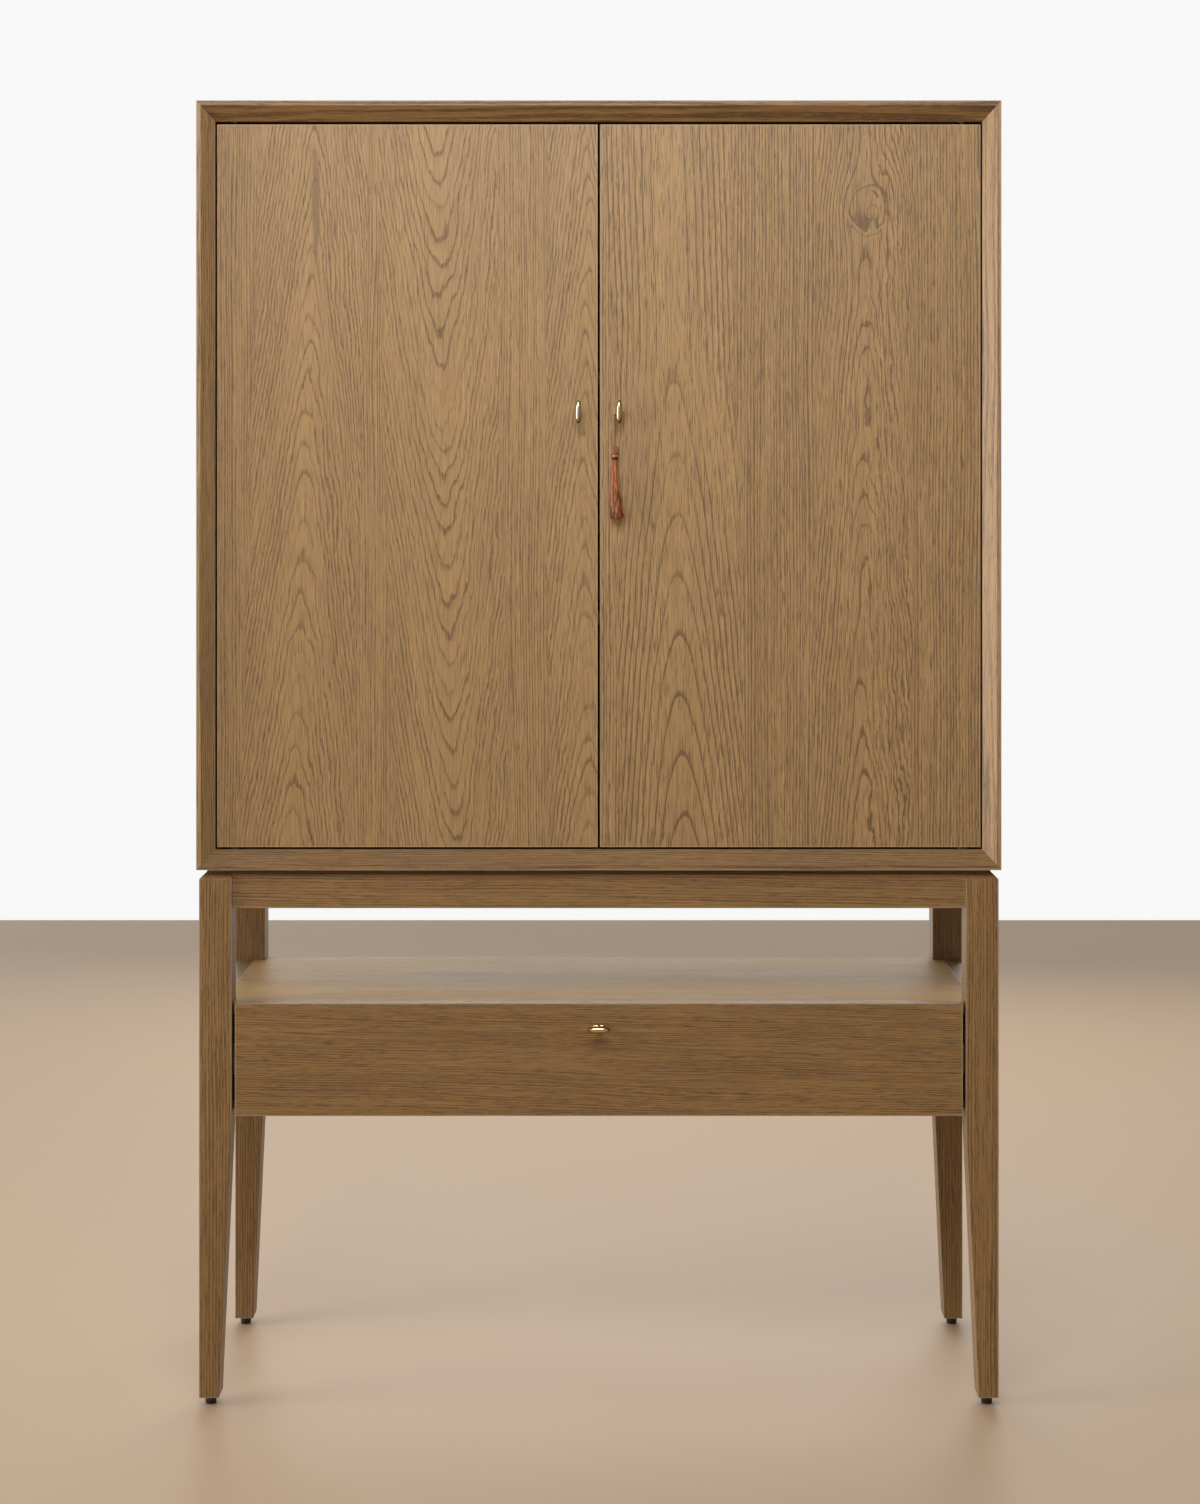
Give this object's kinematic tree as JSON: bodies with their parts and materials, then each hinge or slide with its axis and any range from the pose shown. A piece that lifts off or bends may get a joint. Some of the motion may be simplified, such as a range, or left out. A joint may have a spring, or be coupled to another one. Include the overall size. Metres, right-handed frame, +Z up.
{
  "type": "armoire",
  "caption": "Oak armoire: double-door case with shelves, on a tall open stand with tapered legs, an open shelf and a wide drawer; brass knobs and a tassel.",
  "frame": {"origin": "on the floor, under the middle of the overall box, the drawer knob included", "axes": "+Z up; -Y is the front with the doors and the drawer; +X is to the right as the doors are faced"},
  "size_m": [1.225, 0.488, 1.991],
  "materials": {
    "case_oak": "satin lacquered oak veneer, brown stain",
    "inner_oak": "satin lacquered oak veneer, brown stain",
    "door_oak": "satin lacquered oak veneer with cathedral grain",
    "stand_oak": "satin lacquered oak, brown stain",
    "box_birch": "clear lacquered birch plywood",
    "brass": "polished",
    "steel": "zinc plated",
    "black_plastic": "matte",
    "rust_thread": "spun cotton thread",
    "dark_thread": "wound dark thread"
  },
  "bodies": {
    "cabinet": {"case_top": "case_oak", "case_bottom": "case_oak", "case_side_left": "case_oak", "case_side_right": "case_oak", "case_back": "inner_oak", "upper_shelf": "inner_oak", "lower_shelf": "inner_oak", "neck_frame": "stand_oak", "front_apron": "stand_oak", "rear_apron": "stand_oak", "left_apron": "stand_oak", "right_apron": "stand_oak", "front_left_leg": "stand_oak", "front_right_leg": "stand_oak", "rear_left_leg": "stand_oak", "rear_right_leg": "stand_oak", "open_shelf": "stand_oak", "left_side_panel": "stand_oak", "right_side_panel": "stand_oak", "bay_bottom": "stand_oak", "bay_back": "stand_oak", "corner_blocks": "box_birch", "pivot_bushes": "brass", "back_screws": "steel", "shelf_pins": "steel", "case_bolts": "steel", "leg_inserts": "steel", "runner_outers": "steel", "door_catches": "black_plastic"},
    "left_door": {"left_door": "door_oak", "left_pivot_pins": "brass", "left_knob": "brass", "left_knob_screw": "steel", "left_strike": "steel"},
    "right_door": {"right_door": "door_oak", "right_pivot_pins": "brass", "right_knob": "brass", "right_knob_screw": "steel", "right_strike": "steel"},
    "tassel": {"tassel_ring": "brass", "tassel_thread": "rust_thread", "tassel_head": "rust_thread", "tassel_band": "dark_thread", "tassel_skirt": "rust_thread"},
    "drawer": {"drawer_front": "stand_oak", "drawer_box_front": "box_birch", "drawer_side_left": "box_birch", "drawer_side_right": "box_birch", "drawer_back": "box_birch", "drawer_bottom": "box_birch", "drawer_knob": "brass", "drawer_knob_screw": "steel", "front_fixing_screws": "steel", "runner_inners": "steel"},
    "runner_middles": {"runner_middles": "steel"},
    "front_left_foot": {"front_left_foot": "black_plastic"},
    "front_right_foot": {"front_right_foot": "black_plastic"},
    "rear_left_foot": {"rear_left_foot": "black_plastic"},
    "rear_right_foot": {"rear_right_foot": "black_plastic"}
  },
  "joints": [
    {"name": "left_door_hinge", "type": "hinge", "parent": "cabinet", "child": "left_door", "pos_m": [-0.5575, -0.189, 1.4055], "axis": [0, 0, -1], "range_deg": [0, 110]},
    {"name": "right_door_hinge", "type": "hinge", "parent": "cabinet", "child": "right_door", "pos_m": [0.5575, -0.189, 1.4055], "axis": [0, 0, 1], "range_deg": [0, 110]},
    {"name": "tassel_swing", "type": "hinge", "parent": "right_door", "child": "tassel", "pos_m": [0.031, -0.213, 1.517], "axis": [0, -1, 0], "range_deg": [-60, 60]},
    {"name": "drawer_slide", "type": "slide", "parent": "cabinet", "child": "drawer", "axis": [0, -1, 0], "range_m": [0, 0.38]},
    {"name": "runner_middle_slide", "type": "slide", "parent": "cabinet", "child": "runner_middles", "axis": [0, -1, 0], "range_m": [0, 0.19]},
    {"name": "front_left_foot_turn", "type": "hinge", "parent": "cabinet", "child": "front_left_foot", "pos_m": [-0.5945, -0.189, 0.02], "axis": [0, 0, 1], "continuous": true},
    {"name": "front_right_foot_turn", "type": "hinge", "parent": "cabinet", "child": "front_right_foot", "pos_m": [0.5945, -0.189, 0.02], "axis": [0, 0, 1], "continuous": true},
    {"name": "rear_left_foot_turn", "type": "hinge", "parent": "cabinet", "child": "rear_left_foot", "pos_m": [-0.5945, 0.22, 0.02], "axis": [0, 0, 1], "continuous": true},
    {"name": "rear_right_foot_turn", "type": "hinge", "parent": "cabinet", "child": "rear_right_foot", "pos_m": [0.5945, 0.22, 0.02], "axis": [0, 0, 1], "continuous": true}
  ],
  "couplings": [
    {"joint": "runner_middle_slide", "follows": "drawer_slide", "ratio": 0.5}
  ]
}
